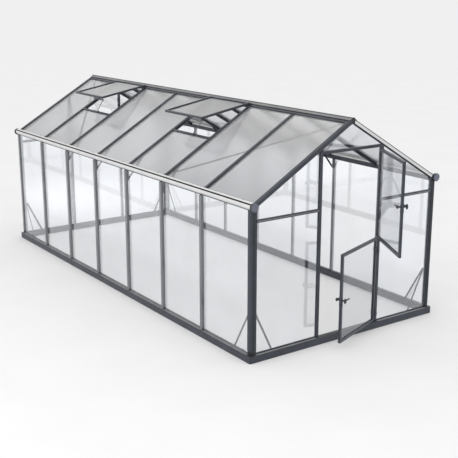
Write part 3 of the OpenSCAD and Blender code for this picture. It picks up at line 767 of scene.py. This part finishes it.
def add_outline(bm, low, high, depth, width, place):
    """Adds a flat line of some width inside a rectangle in x and z."""
    for a, b in (((low[0], low[1]), (low[0] + width, high[1])),
                 ((high[0] - width, low[1]), (high[0], high[1])),
                 ((low[0] + width, low[1]), (high[0] - width, low[1] + width)),
                 ((low[0] + width, high[1] - width), (high[0] - width, high[1]))):
        add_box(bm, (a[0], depth[0], a[1]), (b[0], depth[1], b[1]), place)


def leaf_trim(leaf, z):
    """Fine pale line round the middle of a leaf's frame, on both faces, a painted highlight along the middle of the
    profile, and the brush seal under it.
    """
    pivot = Vector(joint(leaf + "_leaf_swing")["pos_m"])
    pivot.z = 0
    spindle = lever_frame(leaf)
    turn = spindle.to_3x3().to_4x4()
    place = Matrix.Translation(pivot) @ turn
    offset = turn.inverted() @ (spindle.translation - pivot)
    left, right, centre = offset.x - 11 * MM, -3 * MM, offset.y
    lines, brush = bmesh.new(), bmesh.new()
    inset = 12 * MM
    for face in FACES:
        depth = (centre + face * LEAF_HALF, centre + face * (LEAF_HALF + 0.6 * MM))
        add_outline(lines, (left + inset, z[0] + inset), (right - inset, z[1] - inset), depth, 1.4 * MM, place)
    for half, drop in ((2 * MM, 3 * MM), (4 * MM, 0.8 * MM)):
        add_box(brush, (left + 4 * MM, centre - half, z[0] - drop), (right - 4 * MM, centre + half, z[0]), place)
    piece(leaf + "_leaf_painted_highlight", lines, "ledge", body=leaf + "_leaf")
    piece(leaf + "_leaf_brush", brush, "black_plastic", body=leaf + "_leaf")


def door_threshold():
    """Strip under the door with five ribs."""
    bm = bmesh.new()
    left, right = OPENING[0] + 28 * MM, OPENING[1] - 28 * MM
    top = across("door_frame", 2)[0]
    for i in range(5):
        start = i * 8 * MM - 22 * MM - GABLE_Y
        add_box(bm, (left, start, top), (right, start + 4 * MM, top + 2 * MM))
    add_box(bm, (left, -24 * MM - GABLE_Y, top), (right, 20 * MM - GABLE_Y, top + 1 * MM))
    piece("door_threshold", bm, "bare_aluminium", bevel=0.4 * MM)


# ---- vent details ----


def vent_hinge_caps():
    """Caps over the hinges of the vents, with their screws."""
    bm = bmesh.new()
    place = slope(-1)
    half, low, top = 22 * MM, 13 * MM, 15.5 * MM
    for first, last in spans("vent_frames", 1, 0.2):
        for y in (first + 30 * MM, last - 30 * MM):
            add_box(bm, (44 * MM, y - half, low), (60 * MM, y + half, top), place)
            for u in (48 * MM, 56 * MM):
                add_screw(bm, place @ Vector((u, y + 12 * MM, top)), outward(place), 2.5 * MM)
    piece("vent_hinge_caps", bm, "frame", bevel=0.6 * MM)


def add_details():
    rafter_strips()
    ridge_strips()
    eave_seals()
    roof_screws()
    glass_clips()
    gutter_trim()
    corner_seals()
    sill_top_painted_light()
    sill_joints()
    wall_screws()
    rail_strips()
    door_threshold()
    vent_hinge_caps()
    for leaf in ("lower", "upper"):
        lever(leaf)
        lock_plates(leaf)
        leaf_trim(leaf, across(leaf + "_leaf_frame", 2))


# ---- floor, light and camera ----

PALE = 0.88
DAYLIGHT = 0.99
FLOOR_RADIUS = 400
# Where the floor's painted reflection is brightest.
GLOW_PLACE = (-3.1, 4.3, 0)


def floor_material():
    """Pale floor. For glossy rays it glows as a painted reflection, so glass and metal mirror it as pale, with painted
    shade next to the building and brightest at GLOW_PLACE.
    """
    s = Shader("floor")
    tone = s.ramp(s.noise(1.5, 3), 0.3, 0.7)
    matte = s.node("BsdfDiffuse", {"Color": s.blend(tone, grey(PALE - 0.01), grey(PALE + 0.01))})
    # Painted reflection: a glow for glossy rays, darker within 1.9 to 2.3 m of the middle and brightest round
    # GLOW_PLACE.
    away = s.ramp(s.maths("ABSOLUTE", s.axes()[0]), 1.9, 2.3)
    off = s.node("VectorMath", {0: s.place(), 1: GLOW_PLACE}, operation="DISTANCE").outputs["Value"]
    glow = s.maths("MULTIPLY", s.ramp(off, 2.4, 0.5), 0.45)
    level = s.maths("ADD", glow, s.times_plus(away, 0.2, 0.78))
    shine = s.node("Emission", {"Color": grey(1, (0.975, 0.985, 1.01)), "Strength": level})
    return s.done(s.layer(s.node("LightPath").outputs["Is Glossy Ray"], matte, shine))


def make_floor():
    bm = bmesh.new()
    bmesh.ops.create_circle(bm, cap_ends=True, segments=96, radius=FLOOR_RADIUS)
    mesh = bpy.data.meshes.new("floor")
    bm.to_mesh(mesh)
    bm.free()
    floor = bpy.data.objects.new("floor", mesh)
    bpy.context.scene.collection.objects.link(floor)
    mesh.materials.append(floor_material())


def make_world():
    """Even pale daylight. The camera sees the floor's tone, and mirrors see a pale sky."""
    world = bpy.data.worlds.new("studio")
    bpy.context.scene.world = world
    world.use_nodes = True
    tree = world.node_tree
    tree.nodes.clear()
    path, mix, out = [tree.nodes.new("ShaderNode" + kind) for kind in ("LightPath", "MixShader", "OutputWorld")]
    tree.links.new(path.outputs["Is Camera Ray"], mix.inputs[0])
    for i, (tone, strength) in enumerate(((grey(1), DAYLIGHT), (grey(PALE), 1.0))):
        sky = tree.nodes.new("ShaderNodeBackground")
        sky.inputs[0].default_value = tone
        sky.inputs[1].default_value = strength
        tree.links.new(sky.outputs[0], mix.inputs[i + 1])
    tree.links.new(mix.outputs[0], out.inputs[0])


KEY_PLACE = (-7, -5, 8)
KEY_AIM = (0, 0, 0.5)
KEY_SIZE = 6
KEY_POWER = 173


def make_light():
    """One large soft key light from the front left."""
    data = bpy.data.lights.new("key", "AREA")
    data.shape = "RECTANGLE"
    data.size = data.size_y = KEY_SIZE
    data.energy = KEY_POWER
    light = bpy.data.objects.new("key", data)
    light.location = KEY_PLACE
    light.rotation_euler = (Vector(KEY_AIM) - Vector(KEY_PLACE)).to_track_quat("-Z", "Y").to_euler()
    bpy.context.scene.collection.objects.link(light)


CAMERA_PLACE = (-5.709, -8.773, 3.3165)
CAMERA_AZIMUTH = -35.08
CAMERA_ELEVATION = 14.98
FIELD_OF_VIEW = 28.76


def make_camera():
    data = bpy.data.cameras.new("camera")
    data.angle = math.radians(FIELD_OF_VIEW)
    data.clip_end = 1000
    camera = bpy.data.objects.new("camera", data)
    camera.location = CAMERA_PLACE
    camera.rotation_euler = (math.radians(90 - CAMERA_ELEVATION), 0, math.radians(CAMERA_AZIMUTH))
    bpy.context.scene.collection.objects.link(camera)
    bpy.context.scene.camera = camera
    bpy.context.scene.view_settings.view_transform = "Standard"


finish_frame_nodes()
add_details()
make_floor()
make_world()
make_light()
make_camera()
